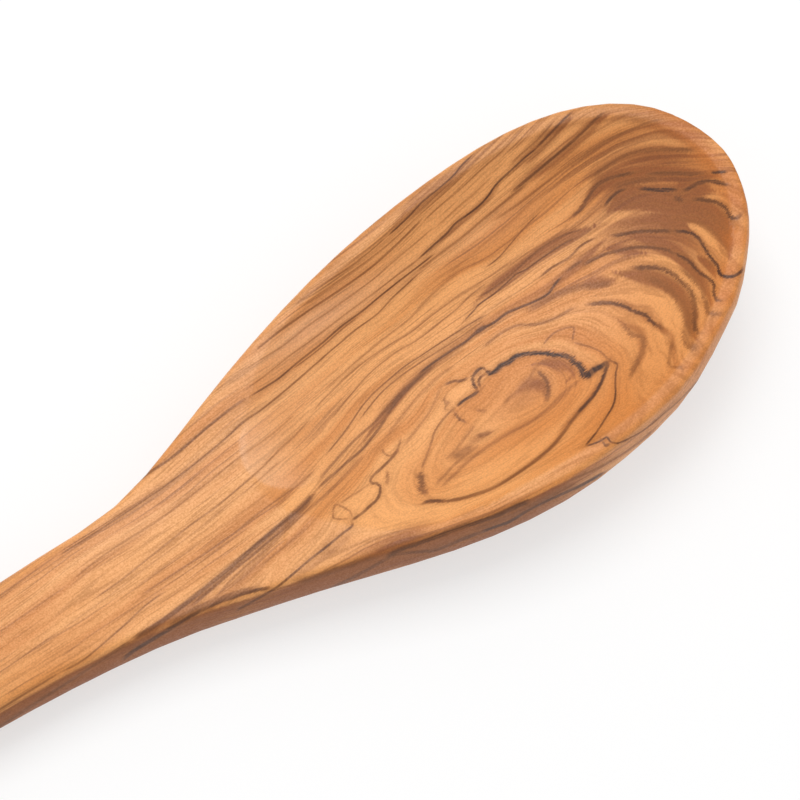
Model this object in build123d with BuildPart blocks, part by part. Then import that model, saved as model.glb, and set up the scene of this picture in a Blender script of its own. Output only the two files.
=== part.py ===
"""Wooden cooking spoon, carved in one piece from a single board.

The grain runs unbroken from the handle through the neck into the bowl, so the
spoon is one solid: there is no glue line, pin or ferrule anywhere on it.

Sizes are in millimetres. The spoon is laid out on its rim plane, the flat plane
of the bowl's upper edge: x runs from the throat, where the hollow starts,
towards the tip, y runs across towards the far edge, and heights count from the
rim plane. The rim plane is tilted so that the spoon lies as it does on a table,
on its belly and on the heel of its handle.
"""

from build123d import *
import os
from math import atan2, cos, degrees, exp, pi, sqrt

# Lengths along the spoon, counted from the throat
bowl_length = 111.6
handle_length = 188.4

# Widths across
bowl_width = 64.4
shoulder_width = 31.6
neck_start_width = 26.6
neck_width = 23.7
waist_width = 18.8
grip_width = 20.0
end_width = 16.4

# Depths of the bowl and thicknesses of the handle
belly_depth = 18.2
tip_depth = 4.5
neck_thickness = 12.5
end_thickness = 8.6

# How the handle arches up behind the bowl, and how far its neck strays sideways
handle_rise = 10.5
neck_softness = 12.0
neck_drift = 0.9
belly_spread = 50.0

# The rim, the rounded edges and the rounded end
rim_width = 3.2
rim_round = 1.2
handle_round = 3.0
handle_crown = 1.4
end_round = 7.0

# The hollow
scoop_depth = 11.0
scoop_shift = 1.0
throat_radius = 11.5

# The two edges of the bowl, from the throat towards the tip, as shares of the
# bowl's length and of half its width. The far edge stays full almost to the
# tip and the near edge draws in earlier, as on a spoon that is sawn out by eye.
far_bowl_shares = [
    (0.000, 0.609),
    (0.193, 0.821),
    (0.372, 0.958),
    (0.497, 1.012),
    (0.614, 1.033),
    (0.721, 1.016),
    (0.804, 0.958),
    (0.875, 0.859),
    (0.919, 0.759),
    (0.955, 0.629),
    (0.983, 0.450),
]
near_bowl_shares = [
    (0.000, -0.634),
    (0.193, -0.838),
    (0.372, -0.966),
    (0.470, -0.986),
    (0.564, -0.967),
    (0.650, -0.930),
    (0.735, -0.839),
    (0.806, -0.717),
    (0.861, -0.610),
    (0.902, -0.485),
    (0.936, -0.366),
    (0.970, -0.205),
    (0.992, -0.017),
]
tip_offset_share = 0.140

# Where the handle's widths are set, as shares of its length from the throat
shoulder_share = 0.071
neck_start_share = 0.124
neck_share = 0.204
waist_share = 0.520
grip_share = 0.860
end_start_share = 0.955
end_turn_share = 0.988
end_turn_width_share = 0.66

# How square a cross-section is: how far down the wall runs before it turns
# under, and how far out the belly runs flat, at the handle, bowl and tip
handle_wall_share = 0.86
handle_belly_share = 0.76
bowl_wall_share = 0.90
bowl_belly_share = 0.80
tip_wall_share = 0.42
tip_belly_share = 0.55
handle_bulge_share = 0.23
bowl_bulge_share = 0.12
corner_pull_share = 0.55
edge_of_depth_share = 0.40
edge_of_width_share = 0.45
crown_of_depth_share = 0.20

# Where the handle's oval section gives way to the bowl's square one
oval_end_share = 0.45
oval_start_share = 0.50
round_end_share = 0.40

# Where the keel is deepest, and how squarely it comes up to the tip
belly_place_share = 0.47
keel_fullness = 2.1
keel_turn = 0.62

# The hollow's deepest place, how full its floor is, and how gently it runs out
# at the throat
scoop_place_share = 0.53
scoop_fullness = 2.7
throat_ease = 1.7
throat_side_share = 0.72
throat_turn_share = 0.26
scoop_edge_shares = [0.655, 0.720, 0.780, 0.840, 0.890, 0.930, 0.965, 0.988]
scoop_ring_shares = [1.05, 1.00, 0.94, 0.86, 0.76, 0.64, 0.50, 0.34, 0.16]

# Sections stand closer together towards both rounded ends
station_count = 60

half_bowl = bowl_width / 2
tip_offset = tip_offset_share * half_bowl
rise_start = -shoulder_share * handle_length
round_end = -round_end_share * handle_length
belly_place = belly_place_share * bowl_length
scoop_place = scoop_place_share * bowl_length


def smooth_step(value, start, finish):
    """0 before start, 1 after finish, and an even S between them."""
    share = min(1, max(0, (value - start) / (finish - start)))
    return share * share * (3 - 2 * share)


def blend(first, second, share):
    """Value that goes from first to second as share goes from 0 to 1."""
    return first + (second - first) * share


def arch_height(x):
    """Height of the upper face over the rim plane: flat over the bowl, arched behind it."""
    behind = max(0, rise_start - x)
    softened = sqrt(neck_softness**2 + behind**2) - neck_softness
    share = softened / (handle_length + rise_start)
    return handle_rise * (1 - (1 - share) ** 2)


def thickness(x):
    """Thickness from the upper face down to the keel, before the end is rounded."""
    handle = blend(neck_thickness, end_thickness, max(0, -x) / handle_length)
    if x < belly_place:
        return blend(handle, belly_depth, exp(-(((belly_place - x) / belly_spread) ** 2)))
    share = min(1, (x - belly_place) / (bowl_length - belly_place))
    return blend(tip_depth, belly_depth, (1 - share**keel_fullness) ** keel_turn)


def end_loss(x):
    """What the handle's rounded end takes off its upper face, and off its keel alike."""
    inside = min(1, max(0, (x + handle_length) / end_round))
    return thickness(x) * (1 - sqrt(1 - (1 - inside) ** 2)) / 4


def upper_height(x):
    """Height of the upper face along the middle line."""
    return arch_height(x) - end_loss(x)


def keel_height(x):
    """Height of the underside along the middle line."""
    return arch_height(x) - thickness(x) + end_loss(x)


# The table touches the heel of the handle and the belly. The steepest of the
# lines from the heel to the belly is the table's line, and gives the tilt.
heel_x = end_round - handle_length
belly_steps = [blend(round_end, belly_place, step / station_count) for step in range(station_count)]
table_slope = max((keel_height(heel_x) - keel_height(x)) / (x - heel_x) for x in belly_steps)
rim = Plane.XY.rotated((0, -degrees(atan2(table_slope, 1)), 0))

# The outline from above, in one closed sweep from the middle of the handle's
# end along the far edge to the tip, and back along the near edge.
tip = (bowl_length, tip_offset)
handle_end = (-handle_length, 0)
handle_places = [
    (end_turn_share, end_turn_width_share * end_width, 0),
    (end_start_share, end_width, 0),
    (grip_share, grip_width, 0),
    (waist_share, waist_width, 0),
    (neck_share, neck_width, 0),
    (neck_start_share, neck_start_width, neck_drift),
    (shoulder_share, shoulder_width, neck_drift),
]
far_side = [(-along * handle_length, width / 2 - drift) for along, width, drift in handle_places]
far_side += [(along * bowl_length, across * half_bowl) for along, across in far_bowl_shares]
near_side = [(-along * handle_length, -width / 2 - drift) for along, width, drift in handle_places]
near_side += [(along * bowl_length, across * half_bowl) for along, across in near_bowl_shares]
with BuildLine() as plan:
    outline = Spline([handle_end, *far_side, tip, *reversed(near_side)], periodic=True)
tip_share = outline.param_at_point(tip)


def far_edge(share):
    """Place on the outline, as a share of the far edge from the handle's end to the tip."""
    return share * tip_share


def near_edge(share):
    """The same along the near edge."""
    return 1 - share * (1 - tip_share)


def toward(start, target, length):
    """Point at a given length from start, straight towards target."""
    way = Vector(*target) - Vector(*start)
    return Vector(*start) + way.normalized() * length


def half_section(x, half_width, side):
    """Curves from the middle of the upper face round one side to the keel."""
    bowl_part = smooth_step(x, -oval_end_share * handle_length, oval_start_share * bowl_length)
    tip_part = smooth_step(x, belly_place, bowl_length)
    flat_part = smooth_step(x, round_end, rise_start)
    wall_share = blend(handle_wall_share, bowl_wall_share, bowl_part)
    wall_share = blend(wall_share, tip_wall_share, tip_part)
    belly_share = blend(handle_belly_share, bowl_belly_share, bowl_part)
    belly_share = blend(belly_share, tip_belly_share, tip_part)
    bulge_share = blend(handle_bulge_share, bowl_bulge_share, bowl_part)

    top, keel = upper_height(x), keel_height(x)
    depth = top - keel
    edge = blend(handle_round, rim_round, flat_part)
    edge = min(edge, edge_of_depth_share * depth, edge_of_width_share * half_width)
    crown = min(blend(handle_crown, 0, flat_part), crown_of_depth_share * depth)
    flat = half_width - edge

    face_middle = (0, top + crown)
    face_pull = (side * flat / 2, top + crown)
    face_side = (side * flat, top)
    beyond_face = (side * flat * 3 / 2, top - crown)
    wall_top = (side * half_width, top - edge)
    wall_pull = (side * half_width * (1 + bulge_share), top - wall_share * depth)
    belly_pull = (side * half_width * belly_share, keel)
    return [
        Bezier(face_middle, face_pull, face_side),
        Bezier(
            face_side,
            toward(face_side, beyond_face, corner_pull_share * edge),
            toward(wall_top, wall_pull, -corner_pull_share * edge),
            wall_top,
        ),
        Bezier(wall_top, wall_pull, belly_pull, (0, keel)),
    ]


def cross_section(share):
    """Upright section that stands on matching places of the far and the near edge."""
    far, near = outline @ far_edge(share), outline @ near_edge(share)
    across = (far - near).normalized()
    middle = (far + near) / 2
    half_width = (far - near).length / 2
    plane = Plane(
        origin=rim.from_local_coords(middle),
        x_dir=rim.x_dir * across.X + rim.y_dir * across.Y,
        z_dir=rim.x_dir * across.Y - rim.y_dir * across.X,
    )
    curves = half_section(middle.X, half_width, 1) + half_section(middle.X, half_width, -1)
    return plane * Face(Wire(curves))


def inset(place, distance):
    """Point of the outline, moved in towards the bowl by a distance."""
    along = outline % place
    return outline @ place + Vector(along.Y, -along.X) * distance


# The hollow's edge: the inner side of the rim, closed at the throat by a round.
throat_turn = throat_turn_share * throat_radius
throat_side = throat_side_share * throat_radius
hollow_edge = [(throat_turn, -throat_side), (0, 0), (throat_turn, throat_side)]
hollow_edge += [inset(far_edge(share), rim_width) for share in scoop_edge_shares]
hollow_edge += [inset(tip_share, rim_width)]
hollow_edge += [inset(near_edge(share), rim_width) for share in reversed(scoop_edge_shares)]


def level_line(share):
    """The hollow's edge drawn in towards its deepest place, slower on the throat's side."""
    middle = Vector(scoop_place, scoop_shift)
    points = []
    for reach in [Vector(*point) - middle for point in hollow_edge]:
        along = share if reach.X > 0 else share**throat_ease
        points.append(middle + Vector(reach.X * along, reach.Y * share))
    return points


with BuildPart() as spoon:
    # The outer form, through sections from the handle's end to the tip. It runs
    # straight from each section to the next, so the flat of the rim stays flat.
    section_shares = [(1 - cos(pi * place / station_count)) / 2 for place in range(1, station_count)]
    loft([cross_section(share) for share in section_shares], ruled=True)

    # The hollow, through its level lines, the first of them clear above the rim.
    for share in scoop_ring_shares:
        with BuildSketch(rim.offset(scoop_depth * (share**scoop_fullness - 1))):
            with BuildLine():
                Spline(level_line(share), periodic=True)
            make_face()
    loft(mode=Mode.SUBTRACT)

# The origin is on the table, in the middle under the spoon.
box = spoon.part.bounding_box()
spoon.part.move(Location((-box.center().X, -box.center().Y, -box.min.Z)))
spoon.part.label = "spoon"

print("volume", spoon.part.volume, "valid", spoon.part.is_valid, "size", box.size)
os.makedirs("parts", exist_ok=True)
export_step(spoon.part, "parts/spoon.step")
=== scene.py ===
import bpy
import numpy as np
from math import atan, cos, sin
from mathutils import Matrix, Vector
from mathutils.kdtree import KDTree


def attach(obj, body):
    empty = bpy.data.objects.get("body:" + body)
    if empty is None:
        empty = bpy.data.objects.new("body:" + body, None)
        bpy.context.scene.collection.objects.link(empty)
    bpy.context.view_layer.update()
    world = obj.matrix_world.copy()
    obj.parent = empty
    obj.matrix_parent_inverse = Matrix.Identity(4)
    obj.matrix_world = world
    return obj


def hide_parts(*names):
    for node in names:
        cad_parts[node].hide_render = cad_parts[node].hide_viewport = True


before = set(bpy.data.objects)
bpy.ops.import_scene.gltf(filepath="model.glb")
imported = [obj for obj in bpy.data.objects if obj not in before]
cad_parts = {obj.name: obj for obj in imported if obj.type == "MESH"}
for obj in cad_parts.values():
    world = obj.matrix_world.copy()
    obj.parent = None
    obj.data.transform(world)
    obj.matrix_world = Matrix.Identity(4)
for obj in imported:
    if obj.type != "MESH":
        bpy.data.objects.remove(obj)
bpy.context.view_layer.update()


# THE SPOON
# One board of olive wood, sawn to the outline, hollowed with a gouge, sanded smooth
# and lightly oiled. Bowl, neck and handle are one piece with no joint, so they are
# one mesh, copied from the CAD solid and made fine enough to carry the figure.

MM = 0.001
MERGE_GAP = 0.02 * MM
MESH_STEP = 0.59 * MM
SANDED_SHARE = 0.5
SANDED_PASSES = 5

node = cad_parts["spoon"]
bpy.ops.object.select_all(action="DESELECT")
spoon = node.copy()
spoon.data = node.data.copy()
spoon.name = "spoon_olive_wood"
spoon.data.name = "spoon_olive_wood"
spoon.parent = None
spoon.matrix_world = Matrix.Identity(4)
bpy.context.scene.collection.objects.link(spoon)
bpy.context.view_layer.objects.active = spoon
spoon.select_set(True)
bpy.ops.object.mode_set(mode="EDIT")
bpy.ops.mesh.select_all(action="SELECT")
bpy.ops.mesh.remove_doubles(threshold=MERGE_GAP)
bpy.ops.object.mode_set(mode="OBJECT")
spoon.data.remesh_voxel_size = MESH_STEP
bpy.ops.object.voxel_remesh()
sanding = spoon.modifiers.new("sanding", "SMOOTH")
sanding.factor = SANDED_SHARE
sanding.iterations = SANDED_PASSES
bpy.ops.object.modifier_apply(modifier="sanding")
bpy.ops.object.shade_smooth()

# The figure of the wood. Growth rings run from the handle along the far side of the
# bowl, turn round the tip and close round a knot under the near side, and dark veins
# follow them. It is drawn in millimetres on the plane of the rim, along the
# bowl from the throat and across it towards the far edge, and it runs down through
# the wood in the direction in which the photograph looks at it.
RIM_SLOPE = 0.08894
RIM_TILT = atan(RIM_SLOPE)
THROAT_PLACE = Vector((38.457, -0.736, 14.467))
EYE_PLACE = Vector((-120.0, -214.9, 649.0))

# Each vein: its ring, counted in millimetres out from the knot, how dark it is, half
# its width, or several half widths from its start to its end, and its points.
FAR_SIDE_VEINS = [
    (44.0, 0.35, 0.13, [(52, 30.5), (55, 30.9), (59, 31.5), (63, 32.0)]),
    (40.6, 0.42, 0.17, [(25, 26.1), (30, 26.3), (35, 26.5), (40, 26.6), (45, 27.1), (50, 27.9)]),
    (40.6, 0.72, 0.20, [
        (48, 27.5), (52, 28.2), (55, 28.8), (58, 29.6), (62, 30.1), (66, 30.7), (69, 31.6),
        (73, 32.4)]),
    (39.4, 0.38, 0.17, [
        (26, 25.2), (32, 25.4), (40, 25.6), (46, 26.0), (52, 26.9), (58, 28.0), (64, 28.9),
        (70, 30.0), (76, 30.7), (80, 31.7)]),
    (38.2, 0.50, 0.25, [
        (14, 22.6), (20, 23.3), (25, 23.6), (31, 23.7), (36, 23.8), (42, 24.1), (48, 25.0),
        (52, 25.8), (57, 26.9)]),
    (37.6, 0.40, 0.20, [
        (55, 26.0), (60, 27.0), (65, 27.6), (70, 28.5), (76, 29.4), (82, 30.9), (85, 31.3)]),
    (36.0, 0.38, 0.18, [
        (3, 20.1), (8, 20.7), (14, 20.7), (20, 20.6), (26, 21.2), (32, 21.4), (40, 21.8),
        (46, 22.6), (52, 23.4), (58, 24.3)]),
    (35.2, 0.32, 0.23, [(56, 23.6), (62, 24.6), (68, 25.5), (73, 26.6)]),
    (33.6, 0.40, 0.17, [
        (8, 17.2), (14, 17.6), (20, 18.2), (26, 18.5), (33, 19.1), (40, 19.6), (46, 20.0),
        (52, 20.4)]),
    (34.2, 0.78, 0.22, [
        (50, 20.3), (54, 21.0), (58, 21.6), (61, 22.4), (66, 22.7), (69, 23.4), (72, 24.6),
        (76, 25.3), (80, 26.0), (84, 26.4)]),
    (34.4, 0.72, 0.26, [(81, 26.0), (85, 26.9), (88, 27.6), (91, 28.3), (94, 28.7)]),
    (35.0, 0.45, 0.23, [(75, 26.0), (79, 26.8), (83, 27.4), (87, 28.5), (90, 29.4)]),
    (33.4, 0.42, 0.30, [(78, 24.8), (84, 25.6), (88, 26.6), (93, 27.9)]),
    (32.3, 0.55, 0.30, [
        (-22, 13.0), (-16, 13.9), (-10, 14.0), (-5, 14.6), (0, 15.3), (5, 15.8), (10, 15.9)]),
    (32.5, 0.66, 0.20, [
        (8, 15.8), (15, 15.6), (20, 16.2), (26, 16.8), (31, 17.5), (36, 17.8), (40, 18.3),
        (45, 18.8), (50, 19.2), (55, 19.7)]),
    (31.8, 0.55, 0.15, [(18, 15.6), (25, 16.1), (31, 17.0), (36, 17.4)]),
    (31.6, 0.46, 0.26, [(48, 18.4), (54, 18.9), (60, 19.3), (66, 20.1), (72, 20.8), (78, 21.3)]),
    (32.0, 0.64, 0.33, [
        (72, 21.3), (77, 22.0), (82, 22.6), (87, 23.2), (92, 24.0), (96, 24.8), (99, 25.0)]),
    (31.2, 0.36, 0.26, [(80, 21.0), (86, 21.6), (92, 22.6), (97, 22.4), (103, 21.8)]),
    (30.3, 0.52, 0.21, [
        (-38, 10.1), (-30, 9.9), (-20, 10.0), (-10, 10.3), (0, 11.3), (5, 12.2), (10, 12.4),
        (15, 12.9), (20, 13.6), (27, 14.6)]),
    (31.0, 0.42, 0.13, [(-38, 10.6), (-30, 10.4), (-20, 10.3), (-12, 10.6)]),
    (30.3, 0.55, 0.17, [
        (22, 14.0), (28, 14.8), (33, 15.4), (38, 15.7), (42, 16.7), (46, 17.4), (50, 18.1)]),
    (28.0, 0.30, 0.26, [
        (52, 14.6), (58, 15.2), (64, 16.0), (70, 16.7), (76, 17.6), (82, 18.1), (87, 18.6)]),
    (29.6, 0.46, 0.28, [
        (66, 18.6), (74, 18.9), (80, 19.4), (86, 19.8), (94, 19.9), (99, 19.2), (104, 18.1),
        (107, 16.6)]),
    (27.0, 0.55, 0.15, [(59, 11.6), (63, 11.9), (66, 12.7), (69, 13.6), (72, 14.4), (76, 15.2)]),
    (25.3, 0.34, 0.26, [
        (20, 8.6), (26, 9.5), (31, 10.3), (36, 10.9), (42, 11.4), (46, 12.4), (51, 13.4),
        (57, 14.0)]),
    (24.6, 0.36, 0.20, [
        (-38, 4.6), (-33, 5.2), (-28, 5.4), (-20, 5.2), (-14, 5.5), (-8, 6.0), (0, 6.8), (5, 7.0),
        (10, 7.4), (15, 8.2)]),
    (24.0, 0.30, 0.15, [(-40, 3.8), (-34, 4.4), (-28, 4.7), (-20, 4.6)]),
    (23.3, 0.40, 0.18, [
        (16, 6.2), (20, 7.4), (26, 8.6), (31, 9.2), (36, 9.3), (41, 9.1), (46, 9.6), (53, 9.8),
        (60, 9.8), (66, 10.1)]),
    (22.8, 0.42, 0.21, [
        (-37, -0.6), (-30, -0.4), (-22, 0.4), (-15, 1.0), (-8, 1.4), (-2, 2.1), (4, 3.0), (8, 4.0),
        (12, 4.6), (17, 6.0)]),
    (21.4, 0.44, 0.16, [
        (18, 3.0), (24, 5.0), (30, 6.7), (36, 7.3), (41, 7.1), (46, 7.5), (51, 8.0), (55, 8.8),
        (60, 9.1)]),
    (21.2, 0.30, 0.17, [
        (-45, -2.1), (-38, -1.9), (-32, -1.6), (-24, -1.0), (-16, -0.6), (-8, 0.2), (0, 1.0),
        (8, 2.2)]),
    (20.4, 0.66, 0.17, [
        (49, 4.8), (53, 5.8), (55, 6.3), (58, 6.4), (61, 6.8), (64, 7.3), (66, 7.0), (70, 7.2),
        (75, 7.2), (79, 6.7)]),
    (21.6, 0.56, 0.22, [
        (54, 7.9), (58, 7.4), (63, 7.7), (68, 8.6), (72, 8.9), (76, 8.6), (81, 7.2)]),
    (22.4, 0.40, 0.20, [(62, 9.4), (68, 9.6), (74, 9.4), (80, 10.0)]),
    (18.2, 0.54, 0.17, [
        (13, -2.3), (17, -1.0), (21, 0.4), (25, 2.1), (28, 3.0), (32, 3.6), (36, 4.1), (40, 4.1),
        (46, 4.1), (52, 4.0), (56, 3.6)]),
    (17.2, 0.50, 0.15, [
        (22, -0.2), (26, 1.2), (30, 2.4), (35, 3.0), (41, 3.0), (48, 2.9), (55, 3.2)]),
    (18.8, 0.40, 0.20, [
        (-30, -4.9), (-20, -4.9), (-10, -4.9), (-4, -4.3), (2, -4.0), (7, -3.8), (12, -2.8)]),
    (18.0, 0.36, 0.15, [
        (-48, -6.4), (-40, -6.0), (-33, -6.1), (-26, -6.1), (-18, -6.0), (-10, -5.5), (-4, -5.3)]),
    (17.2, 0.48, 0.20, [
        (-50, -8.6), (-45, -9.2), (-40, -8.7), (-35, -8.0), (-29, -7.0), (-24, -6.8)]),
]
RING_ROUND_KNOT_VEINS = [
    (15.6, 0.62, 0.50, [
        (-36, -11.0), (-28, -11.2), (-20, -10.6), (-14, -10.0), (-8, -9.3), (-2, -8.5), (3, -7.9),
        (6, -7.4), (9, -6.5)]),
    (15.0, 0.55, 0.35, [
        (-24, -12.2), (-18, -11.3), (-12, -10.6), (-6, -10.0), (0, -9.2), (5, -8.2), (8, -7.6)]),
    (15.8, 0.58, 0.30, [
        (8, -6.7), (12, -6.0), (16, -5.4), (20, -4.9), (23, -4.0), (26, -2.9), (29, -1.6)]),
    (16.4, 0.50, 0.30, [
        (9, -5.6), (13, -4.4), (17, -3.3), (21, -2.4), (25, -1.9), (28, -1.0), (31, 0.0)]),
    (15.8, 0.66, 0.55, [(26, -2.4), (29, -1.2), (32, -0.2), (35, 0.4), (38, 0.9), (42, 1.4)]),
    (16.2, 0.76, 0.30, [
        (36, 1.2), (40, 1.6), (45, 1.7), (48, 1.6), (51, 2.0), (53, 1.9), (55, 1.7), (58, 1.9),
        (61, 1.3), (64, 0.7), (66.5, 0.6), (69, 1.5), (72, 2.2)]),
    (16.2, 0.92, 0.50, [(50.4, 1.9), (52, 2.0), (53.6, 1.9)]),
    (15.2, 0.34, 0.25, [(34, -0.6), (39, 0.6), (44, 0.7), (49, 0.4)]),
    (14.4, 0.42, 0.30, [
        (-19, -13.4), (-14, -12.0), (-9, -11.2), (-3, -10.3), (3, -9.2), (9, -8.4), (15, -7.2),
        (21, -5.6)]),
    (13.6, 0.32, 0.30, [(-16, -13.8), (-9, -12.8), (-2, -12.2), (5, -11.4)]),
    (13.2, 0.34, 0.35, [(24, -5.9), (28, -4.4), (32, -3.0), (36, -2.0), (40, -1.2), (45, -1.1)]),
    (12.6, 0.44, 0.34, [
        (49, -1.4), (52, -1.0), (55, -0.8), (58, -1.3), (60, -2.5), (62, -3.6), (65, -4.3),
        (68, -4.4), (70.5, -5.0)]),
    (14.4, 0.46, 0.75, [(60, 0.2), (64, -0.2), (68, -0.6), (72, -1.8), (76, -3.8), (79, -5.2)]),
    (12.0, 0.34, 0.30, [(25, -9.4), (29, -8.0), (33, -6.6), (36, -5.2), (39, -3.4), (41, -3.2)]),
    (12.6, 0.70, 0.42, [
        (70, -4.8), (72.5, -6.1), (75, -7.7), (76.5, -9.5), (77.4, -11.4), (78.8, -13.4),
        (79.0, -15.4), (79.8, -17.4), (80.8, -19.0)]),
    (12.8, 0.44, 0.36, [
        (80.8, -19.0), (79.6, -20.8), (77.6, -22.6), (76.4, -24.4), (77.9, -26.0), (76.6, -27.8)]),
    (11.8, 0.46, 0.50, [
        (73.6, -10.6), (74.2, -12.8), (74.4, -15.0), (75.6, -16.8), (74.2, -18.8), (72.0, -20.1),
        (69.6, -21.4), (67.6, -22.8)]),
    (14.6, 0.62, 0.50, [
        (81.6, -3.3), (83.2, -4.7), (85.2, -6.0), (87.0, -7.6), (88.0, -9.5), (88.5, -12.0),
        (88.6, -14.2), (87.8, -16.6), (86.4, -18.8), (85.0, -20.4), (84.8, -22.0), (86.2, -23.0)]),
    (14.0, 0.44, 0.90, [
        (82.6, -6.4), (84.6, -9.0), (85.6, -12.0), (85.8, -15.0), (85.0, -18.0), (83.2, -20.4),
        (81.8, -22.4), (82.6, -24.0), (84.6, -24.7)]),
    (15.4, 0.60, 0.40, [
        (74, 1.6), (79, 1.2), (83, -0.1), (86, -1.5), (88.4, -3.4), (90, -5.0), (91, -6.8),
        (91.9, -8.5)]),
    (15.4, 0.74, 0.36, [
        (90.6, -5.0), (91.4, -7.6), (92.1, -9.4), (92.2, -12.0), (92.9, -14.2), (93.0, -15.8),
        (91.9, -17.4), (91.6, -18.8), (93.4, -19.8)]),
    (15.0, 0.46, 0.50, [
        (89.6, -8.4), (90.4, -11.6), (90.6, -14.6), (89.8, -17.6), (88.8, -19.8), (90.4, -21.3),
        (92.6, -21.2)]),
    (17.4, 0.66, 0.42, [
        (82, 4.3), (84, 3.0), (86.5, 1.8), (88.7, 0.6), (90.6, -0.7), (92.6, -2.0), (94.6, -3.7)]),
    (17.4, 0.84, 0.36, [
        (92.4, -1.8), (94.4, -3.4), (95.8, -4.8), (96.4, -6.6), (96.1, -9.0), (95.9, -11.0),
        (95.9, -13.2), (95.3, -15.0), (96.6, -16.4), (98.6, -16.7), (100.6, -15.8)]),
    (18.2, 0.56, 0.26, [(66, 4.0), (70, 4.5), (74, 4.3), (78, 5.0), (82, 4.3)]),
    (17.0, 0.55, 0.30, [(71, 2.2), (75, 2.4), (77, 2.2)]),
    (18.4, 0.34, 0.45, [
        (93, 1.0), (96, -1.6), (98.4, -4.2), (99.6, -7.4), (99.2, -11.0), (98.2, -13.6)]),
    (19.6, 0.66, 0.45, [
        (99, 1.6), (101.6, -0.4), (103.6, -2.6), (104.3, -4.6), (104.0, -6.4), (105.0, -7.4),
        (107.4, -6.8)]),
    (19.0, 0.34, 0.80, [(100, -2.2), (101.4, -5.0), (101.8, -8.0), (101.0, -10.6)]),
    (21.4, 0.72, 0.36, [(84.6, 8.3), (86.4, 9.2), (88.4, 9.8), (90.4, 9.9), (92.4, 8.8)]),
    (20.6, 0.92, (0.26, 0.42, 0.44, 0.42, 0.26), [
        (92.0, 8.6), (93.6, 8.0), (95.0, 6.9), (96.4, 5.7), (97.8, 4.8), (99.0, 3.9),
        (100.4, 3.0)]),
    (20.6, 0.74, 0.45, [
        (98.6, 3.9), (100.4, 2.9), (103.2, 2.6), (105.4, 1.6), (107.4, -0.6), (108.6, -2.0)]),
    (19.8, 0.70, 0.60, [(97.2, 2.8), (98.4, 1.9), (97.6, 1.3)]),
    (24.0, 0.64, 0.40, [
        (78, 10.6), (82, 11.2), (84.5, 12.3), (87.4, 13.4), (90.4, 13.1), (93.4, 12.0),
        (96, 10.7)]),
    (23.4, 0.58, 0.42, [(95, 10.4), (98, 8.8), (101, 6.8), (103.6, 4.8), (106.6, 3.2)]),
    (23.2, 0.78, 0.32, [(106.2, 3.2), (107.8, 2.2), (109.6, 1.2)]),
    (26.0, 0.52, 0.45, [
        (86, 15.0), (90, 15.4), (95, 15.3), (98.6, 14.2), (102, 12.2), (105, 10.0), (108, 7.6)]),
    (22.4, 0.50, 0.60, [(88, 11.4), (92, 10.6), (95, 9.2), (99, 6.8)]),
]
HANDLE_VEINS = [
    (30.2, 0.44, 0.18, [(-36, 10.3), (-60, 9.6), (-85, 9.8), (-110, 10.2), (-135, 9.6)]),
    (28.2, 0.36, 0.18, [(-90, 7.2), (-120, 7.6), (-150, 7.0), (-182, 7.2)]),
    (25.4, 0.38, 0.18, [(-38, 4.4), (-60, 4.0), (-90, 4.6), (-120, 5.0), (-150, 4.4), (-176, 4.8)]),
    (22.8, 0.42, 0.16, [(-84, 0.6), (-110, 0.8), (-140, 1.2), (-170, 0.6), (-190, 0.6)]),
    (20.4, 0.36, 0.18, [(-44, -2.1), (-70, -2.6), (-100, -2.2), (-130, -2.8), (-160, -3.0)]),
    (18.6, 0.50, 0.16, [(-64, -5.0), (-90, -5.4), (-118, -5.0)]),
    (16.4, 0.50, 0.22, [
        (-48, -8.7), (-70, -8.0), (-95, -7.4), (-120, -8.0), (-150, -8.6), (-180, -8.0)]),
    (15.0, 0.56, 0.30, [(-34, -11.1), (-60, -11.0), (-85, -10.4), (-110, -10.2)]),
]
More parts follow.
